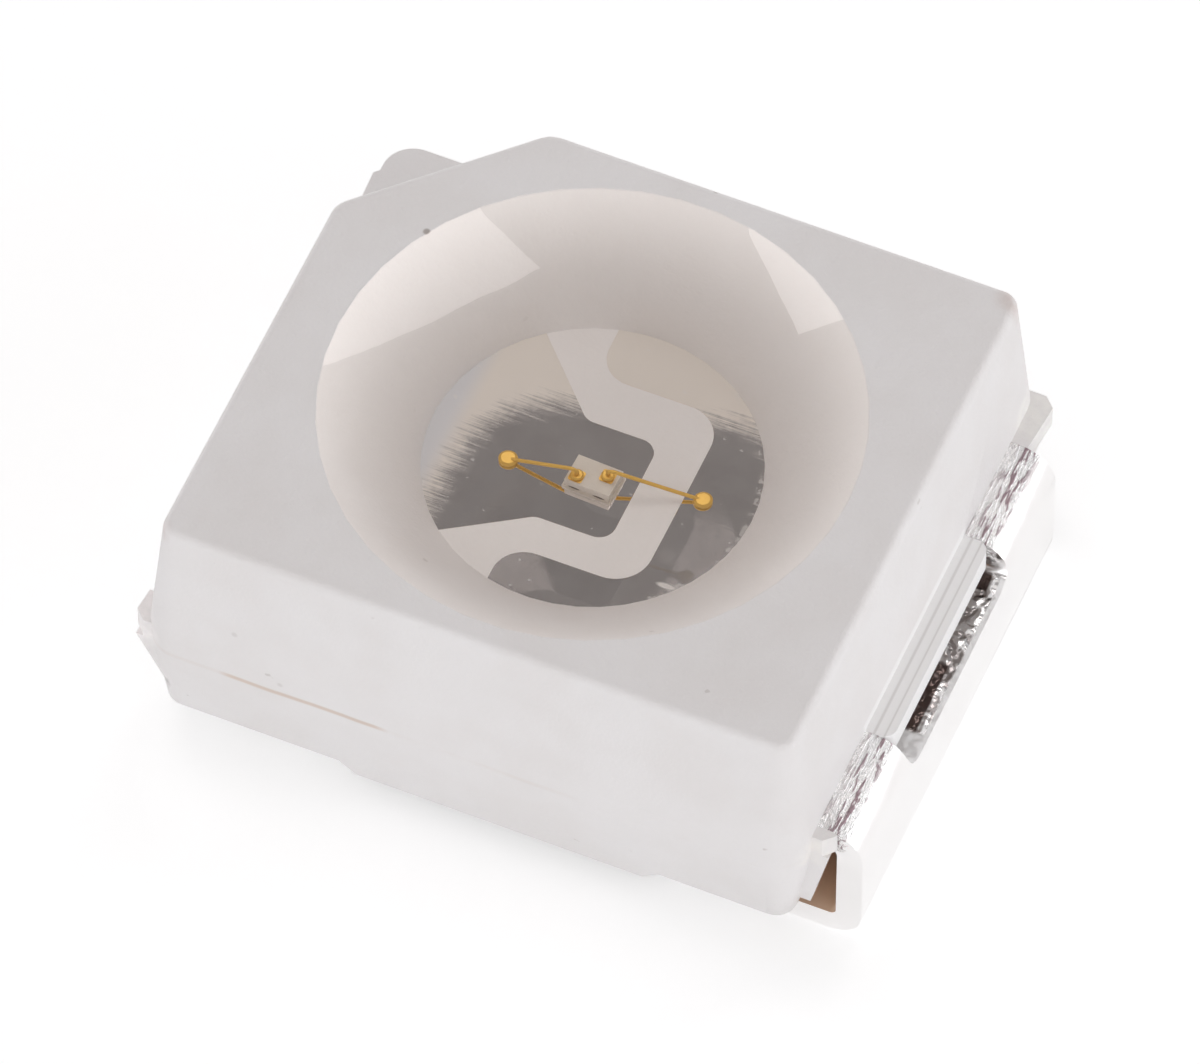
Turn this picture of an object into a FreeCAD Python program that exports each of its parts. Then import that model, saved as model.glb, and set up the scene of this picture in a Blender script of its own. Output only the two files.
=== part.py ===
import FreeCAD, Part
import math
import os
import Sketcher

# Surface-mount LED with two leads: a white moulded housing round a two-piece lead frame, a
# reflector cup filled with clear resin, and one chip wired to both leads.
#
# Millimetres, +Z up. Z = 0 is the board plane under both solder pads. X runs from the cathode
# lead to the anode lead, and the origin is the middle of the part's length and width. The
# sketches are drawn from the cup's axis, which lies a little to the cathode's side of that middle.

SIZES = {
    # Reflector cup and the resin in it. The walls are measured at the top, on the two axes
    "cup_rim_diameter": 2.40,
    "cup_side_wall": 0.1104,
    "cup_end_wall": 0.2754,
    "cup_wall_lean": 31.2,
    "resin_hollow": 0.07,
    # Housing, above and below the parting band
    "body_corner_radius": 0.16,
    "upper_height": 0.71,
    "upper_draft": 6.0,
    "lower_draft": 8.0,
    "top_edge_radius": 0.04,
    # Height of the plastic above the board: under the belly and over the solder pads
    "belly_clearance": 0.11,
    "end_clearance": 0.19,
    "belly_to_pad": 0.07,
    # Cut corner that marks the cathode
    "mark_leg": 0.71,
    "mark_depth": 0.55,
    "mark_corner_radius": 0.12,
    # Plastic left at the parting band beside the legs and between them
    "anode_ear_reach": 0.10,
    "cathode_ear_reach": 0.055,
    "corner_ear_inset": 0.06,
    "corner_ear_chamfer": 0.05,
    "near_ear_width": 0.06,
    "anode_web_foot": 0.25,
    "cathode_web_foot": 0.33,
    "band_plastic_root": 0.10,
    "window_plug_depth": 0.09,
    # Lead frame. The leads stand out from the band at the ends and stay inside it at the sides.
    # The cathode's leg lies against the housing and leans in under it
    "frame_thickness": 0.12,
    "frame_height": 0.63,
    "frame_shift": 0.065,
    "anode_standoff": 0.215,
    "cathode_standoff": 0.07,
    "cathode_leg_lean": 0.09,
    "lead_side_margin": 0.285,
    "lead_root_depth": 0.25,
    "upper_bend_radius": 0.06,
    "lower_bend_radius": 0.03,
    "pad_length": 0.90,
    # Window between the legs, through the bend
    "window_width": 1.12,
    "window_drop": 0.09,
    "window_corner_radius": 0.12,
    "window_root_depth": 0.15,
    # Tongue of the cathode, which carries the chip
    "tongue_front": 0.345,
    "tongue_back": 0.235,
    "tongue_root": 0.13,
    "tongue_corner_radius": 0.08,
    "flare_end": 0.60,
    "flare_front_margin": 0.505,
    "flare_back_margin": 0.315,
    # Opening of the anode round the tongue, and the land that shows beyond it
    "anode_land": 0.33,
    "tongue_to_anode": 0.215,
    "anode_inner_front": 0.535,
    "anode_inner_back": 0.485,
    "anode_inner_radius": 0.17,
    "anode_tip": 0.19,
    "anode_tip_radius": 0.15,
    # Chip and the layer under it
    "chip_length": 0.22,
    "chip_width": 0.15,
    "chip_height": 0.09,
    "chip_setback": 0.1895,
    "chip_centre_front": 0.069,
    "chip_turn": 2.5,
    "attach_thickness": 0.012,
    "attach_margin": 0.012,
    # Electrodes on the chip, from the chip's centre
    "electrode_side": 0.066,
    "electrode_thickness": 0.005,
    "cathode_electrode_along": 0.066,
    "cathode_electrode_front": 0.036,
    "anode_electrode_along": 0.060,
    "anode_electrode_back": 0.020,
    # Bond wires
    "wire_diameter": 0.02,
    "wire_rise": 0.065,
    "wire_bend_radius": 0.025,
    "chip_ball_diameter": 0.062,
    "chip_ball_height": 0.024,
    "lead_ball_diameter": 0.088,
    "lead_ball_height": 0.036,
    "cathode_ball_along": 0.364,
    "cathode_ball_front": 0.107,
    "anode_ball_inset": 0.086,
    "anode_ball_back": 0.023,
}

SHEET = "Sizes"


class Size:
    """A size that knows its number and the sheet formula that it comes from."""

    def __init__(self, number, formula):
        self.number = number
        self.formula = formula

    def _combined(self, other, sign, number):
        formula = other.formula if isinstance(other, Size) else repr(other)
        return Size(number, "(%s %s %s)" % (self.formula, sign, formula))

    def __add__(self, other):
        return self._combined(other, "+", self.number + plain(other))

    def __sub__(self, other):
        return self._combined(other, "-", self.number - plain(other))

    def __mul__(self, other):
        return self._combined(other, "*", self.number * plain(other))

    def __truediv__(self, other):
        return self._combined(other, "/", self.number / plain(other))

    def __neg__(self):
        return Size(-self.number, "(0 - %s)" % self.formula)


def plain(value):
    return value.number if isinstance(value, Size) else float(value)


def size(name):
    return Size(SIZES[name], "%s.%s" % (SHEET, name))


def tangent(degrees):
    return Size(math.tan(math.radians(degrees.number)), "tan(%s * 1 deg)" % degrees.formula)


def cosine(degrees):
    return Size(math.cos(math.radians(degrees.number)), "cos(%s * 1 deg)" % degrees.formula)


def sine(degrees):
    return Size(math.sin(math.radians(degrees.number)), "sin(%s * 1 deg)" % degrees.formula)


def distance(along, across):
    number = math.hypot(along.number, across.number)
    return Size(number, "sqrt(%s ^ 2 + %s ^ 2)" % (along.formula, across.formula))


def bearing(along, across):
    number = math.degrees(math.atan2(across.number, along.number))
    return Size(number, "atan2(%s; %s)" % (across.formula, along.formula))


NONE = Size(0.0, "0")

# Heights are compared to within this, which is far under the smallest size of the part
NEAR = 1e-4

document = FreeCAD.newDocument("surface_mount_led")
sheet = document.addObject("Spreadsheet::Sheet", SHEET)
for row, (alias, value) in enumerate(SIZES.items(), start=1):
    sheet.set("A%d" % row, alias)
    sheet.set("B%d" % row, str(value))
    sheet.setAlias("B%d" % row, alias)
document.recompute()


def bind(thing, path, value):
    """Set a property from a size and tie it to the sheet."""
    thing.setExpression(path, value.formula)


# Sketch helpers


def new_body(label, x=None):
    """A body whose own X = 0 is the cup's axis, or another place x from that axis."""
    body = document.addObject("PartDesign::Body", label)
    body.Label = label
    bind(body, "Placement.Base.x", axis_x if x is None else axis_x + x)
    return body


def plane_of(body, role):
    for feature in body.Origin.OriginFeatures:
        if feature.Role == role:
            return feature
    raise RuntimeError("no plane called " + role)


def new_sketch(body, name, role, offset=NONE):
    """A sketch on one of the body's own planes, moved along the plane's normal by offset."""
    sketch = body.newObject("Sketcher::SketchObject", name)
    sketch.AttachmentSupport = [(plane_of(body, role), "")]
    sketch.MapMode = "FlatFace"
    sketch.AttachmentOffset = FreeCAD.Placement(
        FreeCAD.Vector(0, 0, offset.number), FreeCAD.Rotation()
    )
    if offset is not NONE:
        bind(sketch, "AttachmentOffset.Base.z", offset)
    return sketch


def hold(sketch, geometry, position, along, across):
    """Hold a point of the sketch at its coordinates, each tied to the sheet.

    A distance in a sketch is positive, so a negative coordinate is measured back to the origin.
    """
    for kind, value in (("DistanceX", along), ("DistanceY", across)):
        if value.number < 0:
            value = -value
            constraint = Sketcher.Constraint(kind, geometry, position, -1, 1, value.number)
        else:
            constraint = Sketcher.Constraint(kind, -1, 1, geometry, position, value.number)
        index = sketch.addConstraint(constraint)
        bind(sketch, "Constraints[%d]" % index, value)


def add_round_corner(sketch, before, after, entry, corner, leave, radius):
    """An arc tangent to two sides, from entry on the first to leave on the second."""
    half = (entry + leave) * 0.5
    centre = corner + (half - corner) * (((entry - corner).Length / (half - corner).Length) ** 2)
    entry_angle = math.atan2(entry.y - centre.y, entry.x - centre.x)
    leave_angle = math.atan2(leave.y - centre.y, leave.x - centre.x)
    turn = (leave_angle - entry_angle) % (2 * math.pi)
    circle = Part.Circle(centre, FreeCAD.Vector(0, 0, 1), radius.number)
    if turn < math.pi:
        arc = Part.ArcOfCircle(circle, entry_angle, entry_angle + turn)
        at_entry, at_leave = (1, 2)
    else:
        arc = Part.ArcOfCircle(circle, leave_angle, leave_angle + 2 * math.pi - turn)
        at_entry, at_leave = (2, 1)
    curve = sketch.addGeometry(arc, False)
    sketch.addConstraint(Sketcher.Constraint("Tangent", before, 2, curve, at_entry))
    sketch.addConstraint(Sketcher.Constraint("Tangent", after, 1, curve, at_leave))
    index = sketch.addConstraint(Sketcher.Constraint("Radius", curve, radius.number))
    bind(sketch, "Constraints[%d]" % index, radius)


def add_outline(sketch, corners):
    """A closed outline through corners (x, y, radius), where a radius of None is a sharp corner.

    Each side runs through two corners, and each round corner is an arc tangent to its two sides.
    """
    count = len(corners)
    spots = [FreeCAD.Vector(plain(x), plain(y), 0) for x, y, _ in corners]
    starts = []
    ends = []
    for index, (_, _, radius) in enumerate(corners):
        here = spots[index]
        back = (spots[index - 1] - here).normalize()
        ahead = (spots[(index + 1) % count] - here).normalize()
        if radius is None:
            starts.append(here)
            ends.append(here)
            continue
        half_angle = back.getAngle(ahead) / 2
        trim = radius.number / math.tan(half_angle)
        ends.append(here + back * trim)
        starts.append(here + ahead * trim)
    sides = []
    for index in range(count):
        segment = Part.LineSegment(starts[index], ends[(index + 1) % count])
        sides.append(sketch.addGeometry(segment, False))
    for index, (x, y, radius) in enumerate(corners):
        before = sides[index - 1]
        after = sides[index]
        if radius is None:
            sketch.addConstraint(Sketcher.Constraint("Coincident", before, 2, after, 1))
            hold(sketch, after, 1, x, y)
            continue
        add_round_corner(sketch, before, after, ends[index], spots[index], starts[index], radius)
        corner = sketch.addGeometry(Part.Point(spots[index]), True)
        hold(sketch, corner, 1, x, y)
        sketch.addConstraint(Sketcher.Constraint("PointOnObject", corner, 1, before))
        sketch.addConstraint(Sketcher.Constraint("PointOnObject", corner, 1, after))


def rectangle(half_x, half_y, radius=None):
    return [
        (-half_x, -half_y, radius),
        (half_x, -half_y, radius),
        (half_x, half_y, radius),
        (-half_x, half_y, radius),
    ]


def add_pad(body, name, sketch, length, downwards=False, draft=None, both_ways=False):
    pad = body.newObject("PartDesign::Pad", name)
    pad.Profile = sketch
    pad.Reversed = downwards
    if both_ways:
        pad.SideType = "Symmetric"
    bind(pad, "Length", length)
    if draft is not None:
        bind(pad, "TaperAngle", -draft)
    document.recompute()
    return pad


def add_pocket(body, name, sketch, length, upwards=False, both_ways=False):
    """A pocket into the sketch's plane, and a stop if it cuts nothing."""
    before = body.Shape.Volume
    pocket = body.newObject("PartDesign::Pocket", name)
    pocket.Profile = sketch
    pocket.Reversed = upwards
    if both_ways:
        pocket.SideType = "Symmetric"
    bind(pocket, "Length", length)
    document.recompute()
    if not body.Shape.Volume < before:
        raise RuntimeError(name + " cuts nothing")
    return pocket


def add_turned(body, name, sketch, cut=False, axis="V_Axis"):
    before = body.Shape.Volume if cut else 0
    kind = "PartDesign::Groove" if cut else "PartDesign::Revolution"
    turned = body.newObject(kind, name)
    turned.Profile = sketch
    turned.ReferenceAxis = (sketch, [axis])
    turned.Angle = 360
    document.recompute()
    if cut and not body.Shape.Volume < before:
        raise RuntimeError(name + " cuts nothing")
    return turned


def add_fillet(body, name, chosen, radius):
    """Round the edges of the body's last feature for which chosen(edge) is true."""
    base = body.Tip
    names = []
    for index, edge in enumerate(base.Shape.Edges, start=1):
        if chosen(edge):
            names.append("Edge%d" % index)
    if not names:
        raise RuntimeError(name + " finds no edge")
    fillet = body.newObject("PartDesign::Fillet", name)
    fillet.Base = (base, names)
    bind(fillet, "Radius", radius)
    document.recompute()
    return fillet


# Heights and half sizes that several pieces share

frame_bottom = size("frame_height")
frame_top = frame_bottom + size("frame_thickness")
body_top = frame_top + size("upper_height")
rim_radius = size("cup_rim_diameter") / 2
floor_radius = rim_radius - tangent(size("cup_wall_lean")) * size("upper_height")
top_half_length = rim_radius + size("cup_end_wall")
top_half_width = rim_radius + size("cup_side_wall")
upper_spread = tangent(size("upper_draft")) * size("upper_height")
half_length = top_half_length + upper_spread
half_width = top_half_width + upper_spread
anode_reach = half_length + size("anode_standoff")
anode_foot = anode_reach
cathode_reach = half_length + size("cathode_standoff")
cathode_foot = cathode_reach - size("cathode_leg_lean")
axis_x = (half_length + size("cathode_ear_reach") - anode_reach) / 2
lead_root = half_length - size("lead_root_depth")
lead_half_width = half_width - size("lead_side_margin")
lead_front = -lead_half_width - size("frame_shift")
lead_back = lead_half_width - size("frame_shift")
cathode_pad_end = cathode_foot - size("pad_length")
anode_pad_end = anode_foot - size("pad_length")
anode_inner_end = floor_radius - size("anode_land")
tongue_end = anode_inner_end - size("tongue_to_anode")
window_front = -(size("window_width") / 2) - size("frame_shift")
window_back = size("window_width") / 2 - size("frame_shift")


# Lead frame: each lead is a flat plate in the housing and a strip bent down and under it


def strip_outline(reach, foot, pad_end):
    """The bent strip seen from the front, on the anode side.

    Its outer face runs from foot at the board up to reach at the frame's top.
    """
    thickness = size("frame_thickness")
    lean = (reach - foot) / frame_top
    upper_inner = size("upper_bend_radius")
    lower_inner = size("lower_bend_radius")
    return [
        (lead_root, frame_bottom, None),
        (foot + lean * frame_bottom - thickness, frame_bottom, upper_inner),
        (foot + lean * thickness - thickness, thickness, lower_inner),
        (pad_end, thickness, None),
        (pad_end, NONE, None),
        (foot, NONE, lower_inner + thickness),
        (reach, frame_top, upper_inner + thickness),
        (lead_root, frame_top, None),
    ]


def mirrored(corners):
    """The same outline on the cathode side, in the order that keeps it anticlockwise."""
    return [(-x, y, radius) for x, y, radius in reversed(corners)]


def cathode_plate():
    reach = lead_root + size("frame_thickness")
    corner = size("tongue_corner_radius")
    return [
        (-reach, lead_front, None),
        (-size("flare_end"), lead_front, corner),
        (-size("flare_end"), lead_front + size("flare_front_margin"), corner),
        (-size("tongue_root"), -size("tongue_front"), corner),
        (tongue_end, -size("tongue_front"), corner),
        (tongue_end, size("tongue_back"), corner),
        (-size("tongue_root"), size("tongue_back"), corner),
        (-size("flare_end"), lead_back - size("flare_back_margin"), corner),
        (-size("flare_end"), lead_back, corner),
        (-reach, lead_back, None),
    ]


def anode_plate():
    reach = lead_root + size("frame_thickness")
    tip = size("anode_tip_radius")
    inner = size("anode_inner_radius")
    outer = size("tongue_corner_radius")
    return [
        (reach, lead_front, None),
        (reach, lead_back, None),
        (-size("anode_tip"), lead_back, outer),
        (-size("anode_tip"), size("anode_inner_back"), tip),
        (anode_inner_end, size("anode_inner_back"), inner),
        (anode_inner_end, -size("anode_inner_front"), inner),
        (-size("anode_tip"), -size("anode_inner_front"), tip),
        (-size("anode_tip"), lead_front, outer),
    ]


def make_lead(label, plate, strip, outwards):
    """One lead. outwards is +1 on the anode side and -1 on the cathode side."""
    body = new_body(label)
    flat = new_sketch(body, label + "_plate_outline", "XY_Plane", frame_bottom)
    add_outline(flat, plate)
    add_pad(body, label + "_plate", flat, size("frame_thickness"))
    bent = new_sketch(body, label + "_strip_outline", "XZ_Plane", size("frame_shift"))
    add_outline(bent, strip)
    add_pad(body, label + "_strip", bent, lead_half_width * 2, both_ways=True)
    root = half_length - size("window_root_depth")
    if outwards < 0:
        root = -root
    sill = frame_bottom - size("window_drop")
    opening = new_sketch(body, label + "_window_outline", "YZ_Plane", root)
    radius = size("window_corner_radius")
    lintel = frame_top + size("frame_thickness")
    add_outline(
        opening,
        [
            (window_front, sill, radius),
            (window_back, sill, radius),
            (window_back, lintel, None),
            (window_front, lintel, None),
        ],
    )
    add_pocket(body, label + "_window", opening, half_length, upwards=outwards > 0)
    return body


cathode_lead = make_lead(
    "cathode_lead",
    cathode_plate(),
    mirrored(strip_outline(cathode_reach, cathode_foot, cathode_pad_end)),
    -1,
)
anode_lead = make_lead(
    "anode_lead", anode_plate(), strip_outline(anode_reach, anode_foot, anode_pad_end), 1
)


# Housing: a drafted upper half, a straight band as thick as the frame and a drafted lower half

housing_form = new_body("housing_form")

band_sketch = new_sketch(housing_form, "band_outline", "XY_Plane", frame_bottom)
add_outline(band_sketch, rectangle(half_length, half_width, size("body_corner_radius")))
add_pad(housing_form, "band", band_sketch, size("frame_thickness"))

upper_sketch = new_sketch(housing_form, "upper_outline", "XY_Plane", frame_top)
add_outline(upper_sketch, rectangle(half_length, half_width, size("body_corner_radius")))
add_pad(housing_form, "upper_half", upper_sketch, size("upper_height"), draft=size("upper_draft"))

lower_sketch = new_sketch(housing_form, "lower_outline", "XY_Plane", frame_bottom)
add_outline(lower_sketch, rectangle(half_length, half_width, size("body_corner_radius")))
add_pad(
    housing_form,
    "lower_half",
    lower_sketch,
    frame_bottom - size("belly_clearance"),
    downwards=True,
    draft=size("lower_draft"),
)


def end_step(pad_end, side):
    """The step that lifts the plastic over one solder pad, seen from the front."""
    rise = size("end_clearance") - size("belly_clearance")
    low = size("belly_clearance") - rise
    inner = pad_end - size("belly_to_pad")
    outer = half_length + rise
    if side < 0:
        return [
            (-outer, low, None),
            (-inner + rise, low, None),
            (-inner - rise, size("end_clearance"), None),
            (-outer, size("end_clearance"), None),
        ]
    return [
        (inner - rise, low, None),
        (outer, low, None),
        (outer, size("end_clearance"), None),
        (inner + rise, size("end_clearance"), None),
    ]


step_sketch = new_sketch(housing_form, "end_steps_outline", "XZ_Plane")
add_outline(step_sketch, end_step(cathode_pad_end, -1))
add_outline(step_sketch, end_step(anode_pad_end, 1))
add_pocket(housing_form, "end_steps", step_sketch, half_width * 2, both_ways=True)

# Cut corner that marks the cathode, down to a ledge above the band

mark_overrun = size("mark_leg")
mark_sketch = new_sketch(housing_form, "mark_outline", "XY_Plane", body_top)
add_outline(
    mark_sketch,
    [
        (
            -top_half_length - mark_overrun,
            top_half_width - size("mark_leg") - mark_overrun,
            None,
        ),
        (-top_half_length + size("mark_leg") + mark_overrun, top_half_width + mark_overrun, None),
        (-top_half_length - mark_overrun, top_half_width + mark_overrun, None),
    ],
)
add_pocket(housing_form, "mark", mark_sketch, size("mark_depth"))


def is_mark_corner(edge):
    """The two upright edges where the cut corner meets the drafted walls."""
    ledge = plain(body_top - size("mark_depth"))
    box = edge.BoundBox
    return abs(box.ZMin - ledge) < NEAR and abs(box.ZMax - body_top.number) < NEAR


add_fillet(housing_form, "mark_corners", is_mark_corner, size("mark_corner_radius"))

cup_sketch = new_sketch(housing_form, "cup_outline", "XZ_Plane")
add_outline(
    cup_sketch,
    [
        (NONE, frame_top, None),
        (floor_radius, frame_top, None),
        (rim_radius, body_top, None),
        (NONE, body_top, None),
    ],
)
add_turned(housing_form, "cup", cup_sketch, cut=True)


def is_top_edge(edge):
    """An edge of the top face other than the cup's rim."""
    box = edge.BoundBox
    on_top = abs(box.ZMin - body_top.number) < NEAR and abs(box.ZMax - body_top.number) < NEAR
    is_rim = abs(box.XLength - SIZES["cup_rim_diameter"]) < NEAR
    return on_top and not is_rim


add_fillet(housing_form, "top_edges", is_top_edge, size("top_edge_radius"))


# Plastic that the mould leaves at the band: an ear at each end of each lead, and a plug in each
# window between the legs


band_plastic_root = half_length - size("band_plastic_root")
ear_end = half_width - size("corner_ear_inset")
near_ear_end = -lead_front + size("near_ear_width")
shoulders = {
    "anode": half_length + size("anode_ear_reach") * 0.8,
    "cathode": half_length + size("cathode_ear_reach") * 0.8,
}


def ear_outline(end, lead_edge, outer, back):
    """One ear in plan, as far as outer. back is +1 at the rear corner and -1 at the front."""
    chamfer = size("corner_ear_chamfer")
    tip = half_length + size(end + "_ear_reach")
    edges = [
        (band_plastic_root, lead_edge),
        (shoulders[end], lead_edge),
        (tip, (outer - chamfer) * back),
        (tip - chamfer, outer * back),
        (band_plastic_root, outer * back),
    ]
    return [(x if end == "anode" else -x, y, None) for x, y in edges]


def plug_outline(end):
    """The plastic in one window in plan, which stops short of the leg's outer face."""
    tip = (anode_reach if end == "anode" else cathode_reach) - size("window_plug_depth")
    radius = size("window_corner_radius") / 2
    corners = [
        (band_plastic_root, window_front, None),
        (tip, window_front, radius),
        (tip, window_back, radius),
        (band_plastic_root, window_back, None),
    ]
    return corners if end == "anode" else mirrored(corners)


def web_outline(end):
    """The web that slopes from one ear down to the end wall, seen from the front."""
    foot = size(end + "_web_foot")
    if end == "cathode":
        return [
            (-shoulders[end], frame_bottom, None),
            (-band_plastic_root, foot, None),
            (-band_plastic_root, frame_bottom, None),
        ]
    return [
        (band_plastic_root, foot, None),
        (half_length, foot, None),
        (shoulders[end], frame_bottom, None),
        (band_plastic_root, frame_bottom, None),
    ]


for end, front_end in (("anode", near_ear_end), ("cathode", ear_end)):
    ledge_sketch = new_sketch(housing_form, end + "_band_outline", "XY_Plane", frame_bottom)
    add_outline(ledge_sketch, ear_outline(end, lead_front, front_end, -1))
    add_outline(ledge_sketch, plug_outline(end))
    add_outline(ledge_sketch, ear_outline(end, lead_back, ear_end, 1))
    add_pad(housing_form, end + "_band_plastic", ledge_sketch, size("frame_thickness"))
    front_web = new_sketch(housing_form, end + "_front_web_outline", "XZ_Plane", -lead_front)
    add_outline(front_web, web_outline(end))
    add_pad(housing_form, end + "_front_web", front_web, front_end + lead_front)
    back_web = new_sketch(housing_form, end + "_back_web_outline", "XZ_Plane", -lead_back)
    add_outline(back_web, web_outline(end))
    add_pad(
        housing_form, end + "_back_web", back_web, ear_end - lead_back, downwards=True
    )

leads = document.addObject("Part::MultiFuse", "leads")
leads.Shapes = [cathode_lead, anode_lead]
housing = document.addObject("Part::Cut", "housing")
housing.Label = "housing"
housing.Base = housing_form
housing.Tool = leads
document.recompute()


# Chip, the layer under it and its electrodes

attach_top = frame_top + size("attach_thickness")
chip_top = attach_top + size("chip_height")
electrode_top = chip_top + size("electrode_thickness")
chip_x = tongue_end - size("chip_setback")
chip_y = -size("chip_centre_front")
chip_angle = -size("chip_turn")


def place(body, y, z, angle):
    """Turn a body about Z and set it down at its own X, tied to the sheet."""
    body.Placement.Rotation = FreeCAD.Rotation(FreeCAD.Vector(0, 0, 1), angle.number)
    for path, value in (("y", y), ("z", z)):
        bind(body, "Placement.Base." + path, value)
    bind(body, "Placement.Rotation.Angle", angle)


def make_block(label, half_x, half_y, height, x, y, z, along=NONE, across=NONE, radius=None):
    """A block on the chip's axes, moved along and across from the chip's centre."""
    body = new_body(label, x)
    sketch = new_sketch(body, label + "_outline", "XY_Plane")
    corners = rectangle(half_x, half_y, radius)
    add_outline(sketch, [(cx + along, cy + across, r) for cx, cy, r in corners])
    add_pad(body, label + "_block", sketch, height)
    place(body, y, z, chip_angle)
    return body


die_attach = make_block(
    "die_attach",
    size("chip_length") / 2 + size("attach_margin"),
    size("chip_width") / 2 + size("attach_margin"),
    size("attach_thickness"),
    chip_x,
    chip_y,
    frame_top,
    radius=size("attach_margin"),
)
led_chip = make_block(
    "led_chip",
    size("chip_length") / 2,
    size("chip_width") / 2,
    size("chip_height"),
    chip_x,
    chip_y,
    attach_top,
)
electrode_half = size("electrode_side") / 2
electrode_corner = electrode_half / 3
electrode_places = {
    "cathode": (-size("cathode_electrode_along"), -size("cathode_electrode_front")),
    "anode": (size("anode_electrode_along"), size("anode_electrode_back")),
}
electrodes = []
for name, (along, across) in electrode_places.items():
    electrodes.append(
        make_block(
            name + "_electrode",
            electrode_half,
            electrode_half,
            size("electrode_thickness"),
            chip_x,
            chip_y,
            chip_top,
            along,
            across,
            radius=electrode_corner,
        )
    )


# Bond wires: each rises from its ball on the chip, bends over and runs down into its ball on
# the lead


def ball_outline(radius, low, high, middle):
    """Half of a pressed ball's section, widest at half its height."""
    bevel = (high - low) / 3
    return [
        (middle, low, None),
        (middle + radius - bevel, low, None),
        (middle + radius, low + bevel, None),
        (middle + radius, high - bevel, None),
        (middle + radius - bevel, high, None),
        (middle, high, None),
    ]


def add_axis(sketch, middle, low, high):
    """A construction line to turn the outline round, where it isn't the sketch's own axis."""
    line = sketch.addGeometry(
        Part.LineSegment(
            FreeCAD.Vector(middle.number, low.number, 0),
            FreeCAD.Vector(middle.number, high.number, 0),
        ),
        True,
    )
    hold(sketch, line, 1, middle, low)
    hold(sketch, line, 2, middle, high)


def make_wire(name, ball_x, ball_y):
    """One wire, built along X from the chip's ball and then turned towards the lead's ball."""
    along, across = electrode_places[name]
    turn_x = cosine(chip_angle)
    turn_y = sine(chip_angle)
    start_x = chip_x + along * turn_x - across * turn_y
    start_y = chip_y + along * turn_y + across * turn_x
    body = new_body(name + "_bond_wire", start_x)
    step_x = ball_x - start_x
    step_y = ball_y - start_y
    reach = distance(step_x, step_y)
    drop = electrode_top - frame_top
    wire_radius = size("wire_diameter") / 2
    top = size("chip_ball_height") + size("wire_rise")

    chip_ball = new_sketch(body, name + "_chip_ball_outline", "XZ_Plane")
    add_outline(
        chip_ball,
        ball_outline(size("chip_ball_diameter") / 2, NONE, size("chip_ball_height"), NONE),
    )
    add_turned(body, name + "_chip_ball", chip_ball)

    path = new_sketch(body, name + "_path", "XZ_Plane")
    landing = size("lead_ball_height") / 2 - drop
    start = size("chip_ball_height") / 2
    bend = size("wire_bend_radius")
    down = FreeCAD.Vector(0, start.number - top.number, 0).normalize()
    out = FreeCAD.Vector(reach.number, landing.number - top.number, 0).normalize()
    peak = FreeCAD.Vector(0, top.number, 0)
    trim = bend.number / math.tan(down.getAngle(out) / 2)
    entry = peak + down * trim
    leave = peak + out * trim
    rising = path.addGeometry(Part.LineSegment(FreeCAD.Vector(0, start.number, 0), entry), False)
    falling = path.addGeometry(
        Part.LineSegment(leave, FreeCAD.Vector(reach.number, landing.number, 0)), False
    )
    add_round_corner(path, rising, falling, entry, peak, leave, bend)
    hold(path, rising, 1, NONE, start)
    hold(path, falling, 2, reach, landing)
    corner = path.addGeometry(Part.Point(peak), True)
    hold(path, corner, 1, NONE, top)
    path.addConstraint(Sketcher.Constraint("PointOnObject", corner, 1, rising))
    path.addConstraint(Sketcher.Constraint("PointOnObject", corner, 1, falling))

    section = new_sketch(body, name + "_section", "XY_Plane", start)
    ring = section.addGeometry(
        Part.Circle(FreeCAD.Vector(0, 0, 0), FreeCAD.Vector(0, 0, 1), wire_radius.number), False
    )
    section.addConstraint(Sketcher.Constraint("Coincident", ring, 3, -1, 1))
    ring_index = section.addConstraint(
        Sketcher.Constraint("Radius", ring, wire_radius.number)
    )
    bind(section, "Constraints[%d]" % ring_index, wire_radius)
    document.recompute()
    run = body.newObject("PartDesign::AdditivePipe", name + "_run")
    run.Profile = section
    run.Spine = path
    document.recompute()

    lead_ball = new_sketch(body, name + "_lead_ball_outline", "XZ_Plane")
    foot = -drop
    head = size("lead_ball_height") - drop
    add_outline(lead_ball, ball_outline(size("lead_ball_diameter") / 2, foot, head, reach))
    add_axis(lead_ball, reach, foot, head)
    add_turned(body, name + "_lead_ball", lead_ball, axis="Axis0")

    place(body, start_y, electrode_top, bearing(step_x, step_y))
    return body


cathode_bond_wire = make_wire("cathode", -size("cathode_ball_along"), -size("cathode_ball_front"))
anode_bond_wire = make_wire(
    "anode", anode_inner_end + size("anode_ball_inset"), size("anode_ball_back")
)


# Clear resin: the cup's own form with a hollow top, less everything that it surrounds

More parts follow.
